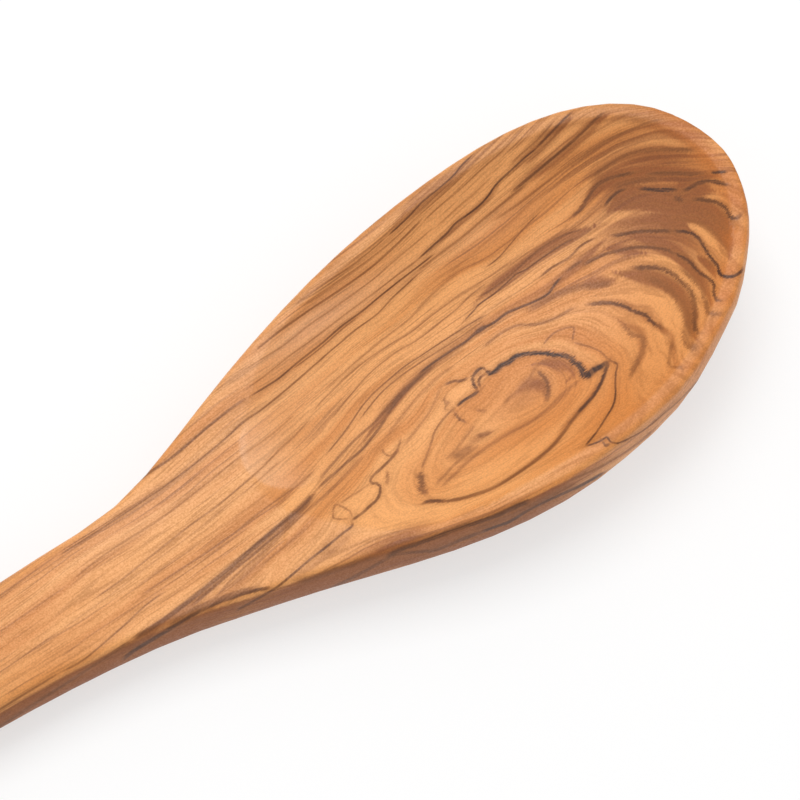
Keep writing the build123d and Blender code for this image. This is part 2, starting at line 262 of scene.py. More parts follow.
KNOT_VEINS = [
    (7.6, 1.00, (0.40, 0.55, 0.52, 0.45, 0.52, 0.72, 0.72, 0.38), [
        (47.8, -5.2), (48.2, -6.1), (49.4, -6.4), (51.0, -6.1), (52.4, -6.4), (54.0, -6.2),
        (55.2, -6.6), (56.6, -7.2), (58.0, -8.1), (59.3, -9.1), (60.3, -10.2), (61.4, -11.0),
        (62.2, -12.1), (62.4, -13.4), (62.7, -14.8), (62.3, -16.2), (62.9, -17.0), (64.4, -16.8),
        (66.0, -17.0), (67.8, -16.9)]),
    (8.6, 0.80, 0.36, [
        (67.8, -17.0), (66.2, -18.1), (64.4, -19.4), (62.0, -20.6), (59.4, -21.4), (56.6, -22.0)]),
    (9.4, 0.56, 0.34, [
        (59.0, -21.5), (56.0, -22.3), (52.5, -23.6), (49.0, -24.6), (45.0, -25.1), (40.0, -25.2),
        (35.6, -25.0), (32.2, -24.2), (29.2, -23.2), (26.8, -22.0), (25.0, -20.8), (23.4, -20.1)]),
    (10.4, 0.70, 0.20, [
        (68.2, -17.2), (68.6, -18.4), (67.4, -19.6), (66.0, -21.3), (64.6, -23.2), (63.0, -24.6),
        (60.0, -26.0), (57.0, -27.2), (54.0, -28.1)]),
    (10.8, 0.66, 0.20, [
        (54.0, -28.1), (55.6, -28.6), (57.0, -28.9), (58.4, -29.0), (58.4, -30.2), (59.6, -31.2),
        (62.0, -31.6)]),
    (10.9, 0.72, 0.26, [(57.2, -29.3), (57.2, -30.2), (58.2, -30.3)]),
    (11.2, 0.50, 0.16, [(61.0, -31.5), (65.0, -31.8), (70.0, -31.3), (75.0, -30.6), (81.0, -29.2)]),
    (9.6, 0.46, 0.22, [
        (59.4, -7.4), (61.0, -6.8), (63.0, -6.5), (65.0, -6.9), (66.4, -7.8), (65.4, -8.9),
        (64.4, -10.0)]),
    (10.0, 0.44, 0.24, [
        (64.4, -10.0), (65.6, -11.4), (66.8, -13.0), (67.6, -14.8), (67.8, -16.4), (68.4, -17.9),
        (69.2, -18.8)]),
    (8.4, 0.78, 0.36, [
        (44.3, -7.7), (44.5, -6.4), (45.0, -5.1), (46.2, -4.5), (47.5, -4.4), (48.1, -5.2)]),
    (8.0, 0.60, 0.30, [(45.0, -7.6), (45.4, -6.6), (46.2, -5.8), (47.2, -5.9)]),
    (9.6, 0.60, 0.30, [(39.6, -3.2), (41.6, -3.5), (43.2, -4.4), (44.8, -4.6)]),
    (7.2, 0.86, 0.32, [(39.2, -8.0), (41.0, -7.8), (43.0, -7.9), (44.8, -7.7)]),
    (7.4, 0.44, 0.22, [
        (39.2, -8.0), (37.0, -8.3), (35.0, -8.9), (33.0, -9.8), (31.0, -11.4), (29.0, -12.8),
        (26.6, -14.4)]),
    (6.2, 0.55, 0.32, [(38.4, -8.4), (38.2, -9.8), (38.6, -11.0), (39.0, -12.0)]),
    (8.4, 0.46, 0.20, [(38.9, -5.1), (37.9, -5.9), (38.8, -6.5), (37.3, -7.0), (37.8, -7.8)]),
    (4.6, 0.34, 0.30, [(31.4, -15.4), (34.0, -15.0), (36.0, -14.3), (38.0, -13.7), (40.0, -13.0)]),
    (3.8, 0.48, 0.62, [(32.6, -15.9), (35.0, -16.1), (37.2, -16.2)]),
    (3.4, 0.50, 0.50, [(38.6, -14.8), (40.2, -15.4), (42.0, -15.8)]),
    (5.0, 0.38, 0.36, [(41.6, -10.2), (42.8, -11.6), (43.8, -11.9)]),
    (5.4, 0.40, 0.30, [(26.8, -18.4), (29.6, -17.8), (32.6, -17.1), (35.6, -16.8), (38.4, -16.6)]),
    (5.8, 0.36, 0.30, [
        (27.6, -19.4), (32.0, -18.6), (36.0, -18.0), (40.0, -17.8), (44.0, -17.9), (48.4, -18.4),
        (53.0, -18.0), (57.0, -17.2), (61.4, -16.8)]),
    (3.0, 0.56, 0.44, [(55.6, -10.6), (56.0, -12.4), (55.6, -14.4), (54.4, -16.0), (53.2, -16.9)]),
    (4.4, 0.34, 0.34, [(46.6, -12.6), (50.0, -12.0), (53.6, -11.2), (56.4, -10.0), (59.0, -10.2)]),
    (6.8, 0.56, 0.70, [(25.4, -14.4), (25.8, -15.8), (24.6, -17.6), (24.8, -19.2)]),
    (7.0, 0.66, 0.34, [(22.8, -20.0), (24.2, -20.2), (25.4, -21.0), (26.8, -22.0)]),
    (9.4, 0.44, 0.24, [(27.4, -7.0), (25.8, -8.4), (23.8, -9.0), (23.0, -7.8), (23.4, -6.6)]),
    (9.6, 0.60, 0.30, [
        (26.0, -8.6), (23.4, -9.5), (20.6, -10.0), (18.4, -10.4), (17.7, -11.2), (18.6, -12.2),
        (18.3, -13.3), (17.0, -14.4), (15.0, -14.8), (13.0, -15.1), (10.4, -15.2)]),
    (8.8, 0.44, 0.36, [(21.4, -10.7), (20.8, -12.2), (19.4, -13.4)]),
    (9.8, 0.66, 0.26, [
        (10.4, -15.2), (10.0, -16.1), (7.6, -16.3), (4.0, -16.7), (0.0, -17.0), (-4.0, -17.5),
        (-8.0, -17.9), (-12.0, -17.7), (-17.0, -17.3)]),
    (9.0, 0.30, 0.50, [(9.0, -17.4), (4.0, -18.0), (-1.0, -18.4), (-5.0, -18.6)]),
    (10.0, 0.42, 0.22, [
        (10.6, -14.6), (9.0, -13.8), (8.2, -12.8), (8.8, -11.8), (10.0, -11.0), (10.9, -12.4),
        (11.3, -13.8), (10.8, -14.8)]),
    (10.6, 0.36, 0.20, [(10.4, -11.2), (13.0, -11.2), (15.6, -11.3), (17.8, -11.0)]),
]
NEAR_WALL_VEINS = [
    (14.0, 0.80, 0.40, [
        (-40, -13.4), (-36, -13.0), (-30, -13.2), (-24, -13.4), (-19, -14.0), (-13, -15.6),
        (-8, -17.6)]),
    (13.0, 0.50, 0.50, [(-30, -12.2), (-22, -12.8), (-16, -14.2), (-10, -16.0)]),
    (12.0, 0.50, 0.60, [(-6, -19.0), (0, -20.6), (6, -22.2), (12, -24.0)]),
    (15.0, 0.62, 0.35, [
        (-2, -23.4), (3, -24.2), (8, -24.7), (13, -25.2), (17, -27.2), (20, -28.8), (25, -29.8),
        (30, -31.0)]),
    (13.0, 0.72, 0.50, [
        (10, -24.6), (14, -24.8), (18, -25.8), (22, -26.8), (26, -27.7), (29, -28.7), (33, -29.8),
        (37, -30.4), (41, -31.2)]),
    (15.4, 0.90, 0.32, [
        (22, -29.2), (26, -30.1), (30, -31.0), (34, -32.0), (38, -32.2), (42, -32.7), (46, -33.4),
        (50, -34.0), (55, -34.3)]),
    (14.2, 0.50, 0.40, [
        (26, -29.0), (31, -30.4), (36, -31.4), (41, -32.0), (46, -32.6), (50, -33.0)]),
    (12.0, 0.46, 0.24, [(46, -31.4), (51, -32.6), (56, -33.2), (62, -33.3), (68, -32.6)]),
]

# A vein along the rings fades over a few millimetres at its ends, and the knot's
# short veins end abruptly.
RING_TAPER = 3.0
KNOT_TAPER = 1.0
along_rings = FAR_SIDE_VEINS + RING_ROUND_KNOT_VEINS + NEAR_WALL_VEINS + HANDLE_VEINS
all_veins = [(*vein, RING_TAPER) for vein in along_rings]
all_veins += [(*vein, KNOT_TAPER) for vein in KNOT_VEINS]


def soft_step(value, start, finish):
    """0 before start, 1 after finish, and an even S between them."""
    share = np.clip((value - start) / (finish - start), 0, 1)
    return share * share * (3 - 2 * share)


def drawn_line(points, step):
    """Points about a step apart on a smooth line through the given ones."""
    points = [np.array(point) for point in points]
    points = [2 * points[0] - points[1], *points, 2 * points[-1] - points[-2]]
    line = []
    for before, start, finish, after in zip(points, points[1:], points[2:], points[3:]):
        steps = max(2, int(np.linalg.norm(finish - start) / step))
        for t in np.arange(steps) / steps:
            line.append(0.5 * (
                2 * start + (finish - before) * t
                + (2 * before - 5 * start + 4 * finish - after) * t**2
                + (3 * start - before - 3 * finish + after) * t**3))
    line.append(points[-2])
    return np.array(line)


def ways_and_lengths(line):
    """A line's direction at each of its points, and its length up to that point."""
    ways = np.gradient(line, axis=0)
    ways /= np.linalg.norm(ways, axis=1)[:, None]
    lengths = np.append(0, np.cumsum(np.linalg.norm(np.diff(line, axis=0), axis=1)))
    return ways, lengths


def of_vertices(kind):
    """Every vertex's place or normal, in rows."""
    values = np.empty(count * 3)
    spoon.data.vertices.foreach_get(kind, values)
    return values.reshape(-1, 3)


def on_rim(rows):
    """Rows of x, y and z, turned to run along the rim, across it and up from it."""
    x, y, z = rows.T
    along = x * cos(RIM_TILT) + z * sin(RIM_TILT)
    up = z * cos(RIM_TILT) - x * sin(RIM_TILT)
    return np.stack([along, y, up], 1)


# Each vertex's place on the drawing is where its line of sight meets the rim's plane.
# seen is 1 where the wood faces the eye, and below 0 where it faces away.
count = len(spoon.data.vertices)
in_wood = on_rim(of_vertices("co") / MM - np.array(THROAT_PLACE))
facing = on_rim(of_vertices("normal"))
along, height, up_share = in_wood[:, 0], in_wood[:, 2], facing[:, 2]
towards_eye = np.array(EYE_PLACE) - in_wood
drawn = (in_wood - towards_eye * (height / towards_eye[:, 2])[:, None])[:, :2]
drawn_along, drawn_across = drawn[:, 0], drawn[:, 1]
towards_eye /= np.linalg.norm(towards_eye, axis=1)[:, None]
seen = np.sum(facing * towards_eye, 1)

# The rings are a smooth sheet through the veins' own rings. Where no vein is drawn,
# they are given: straight along the handle, and rising away from the knot below
# the near edge and beyond the tip. On the walls they lean out with depth.
PLAIN_RINGS = [
    (-70, 12, 31.6), (-70, 0, 22.2), (-70, -12, 12.8),
    (-110, 12, 32.4), (-110, 0, 22.6), (-110, -12, 12.4),
    (-150, 12, 31.2), (-150, 0, 21.6), (-150, -12, 11.6),
    (-190, 12, 32.0), (-190, 0, 22.4), (-190, -12, 12.6),
    (-30, -30, 24.0), (0, -45, 30.0), (40, -55, 32.0), (80, -50, 26.0), (112, -30, 25.0),
    (0, 45, 60.0), (40, 50, 64.0), (80, 50, 60.0), (112, 30, 46.0), (128, 5, 32.0),
    (50, -14, 2.2), (47, -15, 2.6), (30, -22, 8.0), (45, -22, 7.6), (16, -20, 8.6), (-4, -15, 11.4),
]
RING_STEP = 3.0
RING_EASE = 160.0
WALL_LEAN = 0.85
WALL_TO_FLAT = (0.1, 0.6)
NOT_ZERO = 1e-9
VERTICES_AT_ONCE = 4000

ring_places = [drawn_line(points, RING_STEP) for _, _, _, points, _ in all_veins]
ring_values = [np.full(len(line), vein[0]) for line, vein in zip(ring_places, all_veins)]
plain_rings = np.array(PLAIN_RINGS)
ring_places = np.vstack(ring_places + [plain_rings[:, :2]])
ring_values = np.concatenate(ring_values + [plain_rings[:, 2]])


def sheet_terms(places):
    """How much each support of the sheet counts at each place."""
    gap = ((places[:, None] - ring_places[None]) ** 2).sum(2) + NOT_ZERO
    return gap * np.log(gap) / 2


supports = len(ring_places)
slope_terms = np.hstack([np.ones((supports, 1)), ring_places])
sheet = np.zeros((supports + 3, supports + 3))
sheet[:supports, :supports] = sheet_terms(ring_places) + np.eye(supports) * RING_EASE
sheet[:supports, supports:] = slope_terms
sheet[supports:, :supports] = slope_terms.T
weights = np.linalg.solve(sheet, np.append(ring_values, [0, 0, 0]))
ring = np.empty(count)
for start in range(0, count, VERTICES_AT_ONCE):
    some = slice(start, start + VERTICES_AT_ONCE)
    ring[some] = (sheet_terms(drawn[some]) @ weights[:supports] + weights[supports]
                  + drawn[some] @ weights[supports + 1:])
ring += WALL_LEAN * -height * (1 - soft_step(up_share, *WALL_TO_FLAT))

# The veins give each vertex its distance to the nearest one, negative on one side,
# and that vein's half width and darkness. Both fade at its ends, over a third of its
# length at most. Veins that run close together are kept on different layers.
VEIN_STEP = 0.25
VEIN_CLEARANCE = 3.0
TAPER_START = -0.5
TAPERS_PER_VEIN = 3
vein_layers = []
for _, darkness, half_width, points, taper_length in all_veins:
    line = drawn_line(points, VEIN_STEP)
    ways, lengths = ways_and_lengths(line)
    from_end = np.minimum(lengths, lengths[-1] - lengths)
    taper_end = min(taper_length, lengths[-1] / TAPERS_PER_VEIN)
    taper = soft_step(from_end, TAPER_START, taper_end)
    given = np.atleast_1d(half_width)
    widths = np.interp(lengths / lengths[-1], np.linspace(0, 1, len(given)), given)
    vein = np.column_stack([
        line, -ways[:, 1], ways[:, 0], widths * taper**0.5, darkness * taper])
    for layer in vein_layers:
        gaps = [np.linalg.norm(other[None, :, :2] - line[:, None], axis=2) for other in layer]
        if min(gap.min() for gap in gaps) > VEIN_CLEARANCE:
            layer.append(vein)
            break
    else:
        vein_layers.append([vein])

# Faces along the line of sight would smear the veins, so they stay off those, and
# the belly shows them fainter. The wide veins are the most ragged, where they cross
# the fibres.
VEINS_SEEN = (-0.35, 0.05)
BELLY_TURNED = (0.3, 0.7)
BELLY_SHARE = 0.65
VEIN_REACH = (1.1, 1.5)
LEAST_RAGGED = 0.15
RAGGED_FROM = 0.15
FULLY_RAGGED = 0.45
on_belly = BELLY_SHARE * soft_step(-seen, *BELLY_TURNED)
shown = np.maximum(soft_step(seen, *VEINS_SEEN), on_belly)
vein_values = []
for number, layer in enumerate(vein_layers):
    samples = np.vstack(layer)
    places = KDTree(len(samples))
    for index, sample in enumerate(samples):
        places.insert((sample[0], sample[1], 0), index)
    places.balance()
    found = [places.find((spot[0], spot[1], 0)) for spot in drawn]
    nearest = samples[[hit[1] for hit in found]]
    gap = np.array([hit[2] for hit in found])
    side = ((drawn - nearest[:, :2]) * nearest[:, 2:4]).sum(1)
    crossing, widths = nearest[:, 2], nearest[:, 4]
    darkness = nearest[:, 5] * shown * (1 - soft_step(gap, *VEIN_REACH))
    ragged_share = crossing * np.clip((widths - RAGGED_FROM) / FULLY_RAGGED, LEAST_RAGGED, 1)
    vein_values += [
        (f"vein_{number}", "FLOAT_VECTOR", "vector", np.stack([side, widths, darkness], 1)),
        (f"crossing_{number}", "FLOAT", "value", ragged_share),
    ]

# Broad tints, each with its middle, its reach along and across, and how much it
# browns, pales or warms the wood. The tip is browner, and the near edge of the neck
# is browned with painted shade. The neck is paler, and so is the wall under the far
# rim, partly its own tone and partly painted light against its shade. The crease of
# the rim is amber.
TINTS = [
    (97, 6, 13, 13, 0.54, 0.0, 0.0),
    (96, -5, 9, 9, 0.46, 0.0, 0.0),
    (80, 1, 12, 8, 0.20, 0.0, 0.0),
    (89, 6, 9, 6, 0.32, 0.0, 0.0),
    # The wall under the far rim: partly its own paler tone, partly painted light.
    (28, 21, 15, 3.6, 0.0, 0.75, 0.0),
    (64, 18, 12, 3, 0.0, 0.30, 0.0),
    (84, 24, 16, 6, 0.16, 0.0, 0.0),
    (58, -12.6, 4.0, 3.4, 0.28, 0.0, 0.0),
    (74, -14, 12, 12, 0.0, 0.0, 0.35),
    (60, -24, 14, 4, 0.0, 0.0, 0.35),
    (49, -13, 8, 4, 0.26, 0.0, 0.0),
    (60, 8, 14, 3, 0.25, 0.0, 0.0),
    (32, -1, 9, 2, 0.25, 0.0, 0.0),
    (8, -7, 12, 2.4, 0.22, 0.0, 0.0),
    (12, 12, 14, 10, 0.0, 0.25, 0.0),
    (-20, 8, 18, 4, 0.0, 0.30, 0.0),
    # Painted shade along the near edge of the neck.
    (-45, -11, 12, 2.6, 0.45, 0.0, 0.0),
    (-25, -14, 16, 2.4, 0.55, 0.0, 0.0),
    (0, -22, 18, 2.6, 0.40, 0.0, 0.0),
    (14, -24, 10, 2.2, 0.60, 0.0, 0.0),
    (32, -30.4, 14, 2.4, 0.60, 0.0, 0.0),
    (108, 6, 2.6, 8, 0.0, 0.0, 0.75),
    (107, -4, 3.0, 4, 0.0, 0.0, 0.85),
    (102.4, -11, 3.4, 3.4, 0.0, 0.0, 1.0),
    (97, -15.4, 3.4, 2.6, 0.0, 0.0, 0.95),
    (92.6, -19, 3.4, 2.2, 0.0, 0.0, 0.9),
    (87.6, -22.8, 3.6, 2.0, 0.0, 0.0, 0.75),
    (80, -26.4, 6.0, 1.8, 0.0, 0.0, 0.6),
    (70, -28.6, 7.0, 1.8, 0.0, 0.0, 0.5),
    (57, -29.6, 8.0, 1.8, 0.0, 0.0, 0.4),
    (108, 17, 5, 6, 0.0, 0.0, 0.5),
]
# The brown channel holds painted shade as well as the wood's browns, and the pale channel painted
# light as well as its pale wood.
BROWN_AND_SHADE, PALE_AND_LIGHT, WARM = range(3)
TINTS_SEEN = (-0.3, 0.1)
on_seen_side = soft_step(seen, *TINTS_SEEN)
tints = np.zeros((count, 3))
for middle, across, reach, spread, *amounts in TINTS:
    share = np.exp(
        -((drawn_along - middle) / reach) ** 2 - ((drawn_across - across) / spread) ** 2)
    tints += share[:, None] * np.array(amounts) * on_seen_side[:, None]

# Brown bands between the veins, which narrow to a point at both ends, and a few
# lighter ones: how brown, half their width, and their points.
BROWN_BANDS = [
    (0.80, 1.9, [
        (79.0, -3.0), (83.5, -7.0), (86.0, -11.0), (86.8, -14.5), (86.0, -18.0), (84.0, -21.0),
        (83.4, -24.0)]),
    (0.75, 1.2, [
        (86.0, 2.0), (89.0, -2.4), (90.8, -6.4), (91.4, -10.0), (91.6, -14.0), (90.8, -17.2),
        (89.6, -20.4)]),
    (0.70, 1.3, [(92.0, 1.8), (94.6, -1.6), (96.2, -5.0)]),
    (0.60, 0.9, [(94.0, -9.0), (94.6, -13.0), (93.8, -15.6)]),
    (0.62, 2.2, [
        (95.0, 4.6), (98.6, 0.4), (101.0, -3.4), (101.6, -7.0), (100.2, -11.0), (98.6, -13.4)]),
    (0.55, 1.6, [(98.0, 4.2), (102.0, 2.0), (105.4, -1.0)]),
    (0.52, 2.2, [(86.0, 8.0), (91.0, 7.6), (95.0, 5.0)]),
    (0.62, 1.5, [
        (82.0, 11.4), (88.0, 13.0), (93.4, 11.4), (98.4, 8.0), (103.4, 4.2), (108.0, 1.6)]),
    (0.26, 2.0, [(84.0, 15.6), (90.0, 15.6), (97.0, 14.0), (103.0, 10.4), (106.6, 7.0)]),
    (0.22, 1.4, [(86.0, 19.2), (95.0, 19.4), (101.0, 17.6), (106.0, 14.2)]),
    (0.60, 1.3, [(72.0, -1.4), (76.0, -3.2), (79.0, -4.6)]),
    (0.42, 1.0, [(80.6, 2.2), (83.4, -0.4), (86.4, -3.4)]),
    (0.50, 1.2, [(73.6, -10.0), (74.6, -13.0), (75.8, -15.5), (73.6, -19.4), (69.0, -22.0)]),
    (0.50, 0.9, [
        (70.6, -5.0), (74.4, -7.2), (76.8, -10.2), (78.4, -13.6), (79.4, -17.0), (80.2, -19.6),
        (77.6, -24.0), (76.2, -27.0)]),
    (0.48, 1.5, [(55.6, -9.4), (59.0, -11.0), (61.0, -13.4), (60.6, -15.4), (58.6, -15.8)]),
    (0.50, 1.2, [
        (20.0, -4.4), (30.0, -0.8), (38.0, 1.4), (50.0, 2.0), (60.0, 2.0), (68.0, 1.5), (76.0, 2.5),
        (82.0, 3.5)]),
    (0.55, 1.4, [(54.0, 7.0), (64.0, 7.8), (74.0, 8.0), (82.0, 7.0)]),
    (0.44, 0.9, [(-36.0, -11.2), (-24.0, -11.4), (-12.0, -10.2), (0.0, -8.6), (8.0, -7.0)]),
    (0.56, 1.2, [(74.0, 21.6), (84.0, 22.4), (92.0, 23.6), (99.0, 24.4)]),
    (0.52, 1.2, [(74.0, 24.6), (84.0, 26.2), (93.0, 28.0)]),
    (0.24, 1.4, [(50.0, 28.4), (60.0, 30.2), (70.0, 31.6)]),
    (0.50, 1.0, [(54.0, 20.8), (66.0, 22.6), (74.0, 24.6)]),
    (0.42, 0.8, [(26.0, 17.0), (36.0, 17.6), (46.0, 18.4), (56.0, 19.2)]),
    (0.36, 0.8, [(-24.0, 13.2), (-12.0, 14.0), (2.0, 15.4), (12.0, 15.8)]),
    (0.42, 1.0, [(8.0, -24.5), (14.0, -25.2), (20.0, -26.9), (32.0, -30.9), (42.0, -32.9)]),
    (0.60, 1.2, [(10.0, -25.6), (18.0, -28.0), (24.0, -29.4), (31.0, -31.2)]),
    (0.46, 0.7, [
        (67.5, -17.4), (64.0, -19.6), (59.4, -21.4), (54.0, -22.8), (49.0, -24.6), (42.0, -25.2),
        (35.0, -24.9), (29.0, -23.2), (25.0, -20.6)]),
    (0.40, 0.7, [
        (62.0, -16.8), (56.0, -17.8), (50.0, -18.3), (44.0, -17.9), (38.0, -17.6), (32.0, -18.4),
        (27.0, -19.4)]),
    (-0.50, 0.9, [(92.6, 9.4), (96.4, 8.0), (99.4, 5.8), (102.4, 4.0)]),
    (-0.45, 1.0, [(94.8, -1.6), (97.4, -4.6), (98.0, -8.0), (97.6, -12.0)]),
    (-0.36, 1.2, [(81.0, 7.0), (86.0, 6.4), (90.0, 4.4), (93.4, 2.0)]),
    (-0.36, 0.8, [
        (83.6, -2.2), (87.6, -5.6), (89.2, -9.0), (89.6, -13.0), (88.8, -17.0), (86.6, -20.6)]),
    (-0.30, 1.2, [(100.6, 1.2), (103.6, -0.4), (106.0, -3.6)]),
    (0.44, 0.8, [(31.0, -14.6), (35.0, -15.4), (39.0, -15.6), (43.0, -16.2)]),
    (0.50, 1.2, [(24.0, -16.0), (24.6, -18.0), (25.0, -20.0)]),
    (0.34, 1.4, [(49.0, -12.6), (53.0, -12.0), (54.6, -14.6), (53.0, -17.0)]),
    (0.62, 1.0, [(45.6, -5.0), (46.8, -5.6), (46.6, -6.6)]),
]
BAND_STEP = 0.4
BAND_MARGIN = 4
BAND_TAPER = 7.0
TAPERS_PER_BAND = 2.4
BAND_END_SHARE = 0.15
BAND_EDGE = 3
for brownness, half_width, points in BROWN_BANDS:
    line = drawn_line(points, BAND_STEP)
    ways, lengths = ways_and_lengths(line)
    beyond = drawn > line.min(axis=0) - BAND_MARGIN
    before = drawn < line.max(axis=0) + BAND_MARGIN
    reached = np.flatnonzero(np.all(beyond & before, axis=1))
    gaps = np.linalg.norm(line[None] - drawn[reached][:, None], axis=2)
    nearest = np.argmin(gaps, axis=1)
    past_nearest = ((drawn[reached] - line[nearest]) * ways[nearest]).sum(1)
    along_band = lengths[nearest] + past_nearest
    from_end = np.minimum(along_band, lengths[-1] - along_band)
    taper = soft_step(from_end, 0, min(BAND_TAPER, lengths[-1] / TAPERS_PER_BAND))
    narrowed = half_width * (BAND_END_SHARE + (1 - BAND_END_SHARE) * taper)
    share = np.exp(-(gaps[np.arange(len(reached)), nearest] / narrowed) ** BAND_EDGE)
    tints[reached, BROWN_AND_SHADE] += brownness * share * on_seen_side[reached]

# Painted shade browns the flat of the rim along the far side, where the lamp lights
# it more than the wall below, and the paler tint of that wall, partly painted light,
# hardly reaches it.
RIM_PAINTED_SHADE = 0.40
RIM_UNPALED = 0.7
RIM_HEIGHT = (-1.2, -0.2)
RIM_ALONG = (14, 40)
RIM_ACROSS = (4, 12)
far_rim = soft_step(height, *RIM_HEIGHT)
far_rim = far_rim * soft_step(along, *RIM_ALONG) * soft_step(drawn_across, *RIM_ACROSS)
tints[:, BROWN_AND_SHADE] += RIM_PAINTED_SHADE * far_rim
tints[:, PALE_AND_LIGHT] *= 1 - RIM_UNPALED * far_rim

# Painted shade browns the near outer wall, which faces away from the lamp, up to the
# knot, and past the knot it is pale.
WALL_PAINTED_SHADE = 0.70
WALL_PALE = 0.7
WALL_TURNED = (0.35, 0.85)
WALL_TO_RIM = (0.35, 0.7)
KNOT_PASSED = (40, 75)
near_wall = soft_step(-facing[:, 1], *WALL_TURNED) * (1 - soft_step(up_share, *WALL_TO_RIM))
past_knot = soft_step(along, *KNOT_PASSED)
tints[:, BROWN_AND_SHADE] += WALL_PAINTED_SHADE * near_wall * (1 - past_knot)
tints[:, PALE_AND_LIGHT] += WALL_PALE * near_wall * past_knot

# At the throat the scoop crosses the end of the grain, so a round patch there is
# pale, with a sharp edge towards the handle and a soft one towards the bowl.
PATCH_PALE = 0.65
PATCH_MIDDLE = (10.4, 4.0)
PATCH_REACH = (10.0, 9.2)
PATCH_EDGE = (-0.01, 0.08)
PATCH_FADE = (1, 13)
FACES_UP = 0.5
in_patch = (1 - ((drawn_along - PATCH_MIDDLE[0]) / PATCH_REACH[0]) ** 2
            - ((drawn_across - PATCH_MIDDLE[1]) / PATCH_REACH[1]) ** 2)
patch_edge = soft_step(in_patch, *PATCH_EDGE)
patch_fade = 1 - soft_step(drawn_along, *PATCH_FADE)
tints[:, PALE_AND_LIGHT] += PATCH_PALE * patch_edge * patch_fade * (up_share > FACES_UP)

for name, kind, field, values in [
    ("ring", "FLOAT", "value", ring),
    ("tint", "FLOAT_VECTOR", "vector", np.clip(tints, 0, 1)),
    *vein_values,
]:
    attribute = spoon.data.attributes.new(name, kind, "POINT")
    attribute.data.foreach_set(field, np.ascontiguousarray(values, dtype=np.float32).ravel())


def srgb(code):
    """Linear colour of an sRGB hex value."""
    parts = [int(code[i:i + 2], 16) / 255 for i in (1, 3, 5)]
    return [c / 12.92 if c <= 0.04045 else ((c + 0.055) / 1.055) ** 2.4 for c in parts] + [1.0]


def add_node(tree, kind, settings, inputs):
    """Adds a node, sets its properties, and fills its inputs with values or links."""
    made = tree.nodes.new("ShaderNode" + kind)
    for name, value in settings.items():
        setattr(made, name, value)
    for name, value in inputs.items():
        if isinstance(value, bpy.types.NodeSocket):
            tree.links.new(value, made.inputs[name])
        else:
            made.inputs[name].default_value = value
    return made


# Olive wood, fine-sanded and lightly oiled. That gives a warm tan between brown and
# nearly black veins, short fibres and pores along the board, a satin sheen, and a
# surface with hardly a bump.
wood = bpy.data.materials.new("olive_wood_sanded_and_oiled")
wood.use_nodes = True
tree = wood.node_tree
shader = tree.nodes["Principled BSDF"]
SMOOTHLY = {"interpolation_type": "SMOOTHSTEP"}
COLOURS = {"data_type": "RGBA"}

coordinates = add_node(tree, "TexCoord", {}, {})
in_mm = add_node(tree, "VectorMath", {"operation": "SCALE"}, {
    0: coordinates.outputs["Object"], "Scale": 1 / MM})
ring_read = add_node(tree, "Attribute", {"attribute_name": "ring"}, {})
tint_read = add_node(tree, "Attribute", {"attribute_name": "tint"}, {})
tint = add_node(tree, "SeparateXYZ", {}, {0: tint_read.outputs["Vector"]})

# Short fibres and pores, all along the board. Real ones are under a tenth of a
# millimetre wide and would not show, so they are drawn coarser.
FLECK_SIZE = (2.2, 0.18, 0.5)
SPECK_SIZE = 0.34
along_board = add_node(tree, "Mapping", {}, {
    "Vector": in_mm.outputs[0], "Rotation": (0, RIM_TILT, 0),
    "Scale": [1 / size for size in FLECK_SIZE]})
fleck = add_node(tree, "TexNoise", {}, {
    "Vector": along_board.outputs[0], "Scale": 1.0, "Detail": 2.0, "Roughness": 0.6})
speck = add_node(tree, "TexNoise", {}, {
    "Vector": in_mm.outputs[0], "Scale": 1 / SPECK_SIZE, "Detail": 1.0})

# The rings waver a little, so that no two lines are quite parallel.
WAVER_SIZE = (24, 9, 9)
WAVER_DEPTH = 0.7
waver_at = add_node(tree, "Mapping", {}, {
    "Vector": in_mm.outputs[0], "Scale": [1 / size for size in WAVER_SIZE]})
waver = add_node(tree, "TexNoise", {}, {
    "Vector": waver_at.outputs[0], "Scale": 1.0, "Detail": 2.0, "Roughness": 0.5})
waver_by = add_node(tree, "MapRange", {}, {
    "Value": waver.outputs[0], "To Min": -WAVER_DEPTH, "To Max": WAVER_DEPTH})
wavering = add_node(tree, "Math", {"operation": "ADD"}, {
    0: ring_read.outputs["Fac"], 1: waver_by.outputs[0]})

# Broad bands, growth lines and fibre lines are noises of the ring, each with its
# width across the rings, the length over which it changes, its detail and its
# roughness. The finest real lines are thinner than a pixel, so these are coarser.
RING_NOISES = {
    "band": (3.4, 60, 2.0, 0.6),
    "line": (0.60, 34, 2.0, 0.55),
    "fibre": (0.24, 9, 1.0, 0.5),
}
noises = {}
for name, (width, run, detail, roughness) in RING_NOISES.items():
    ring_at = add_node(tree, "Math", {"operation": "DIVIDE"}, {0: wavering.outputs[0], 1: width})
    place_at = add_node(tree, "VectorMath", {"operation": "SCALE"}, {
        0: in_mm.outputs[0], "Scale": 1 / run})
    noise = add_node(tree, "TexNoise", {"noise_dimensions": "4D"}, {
        "Vector": place_at.outputs[0], "W": ring_at.outputs[0],
        "Scale": 1.0, "Detail": detail, "Roughness": roughness})
    noises[name] = noise.outputs[0]

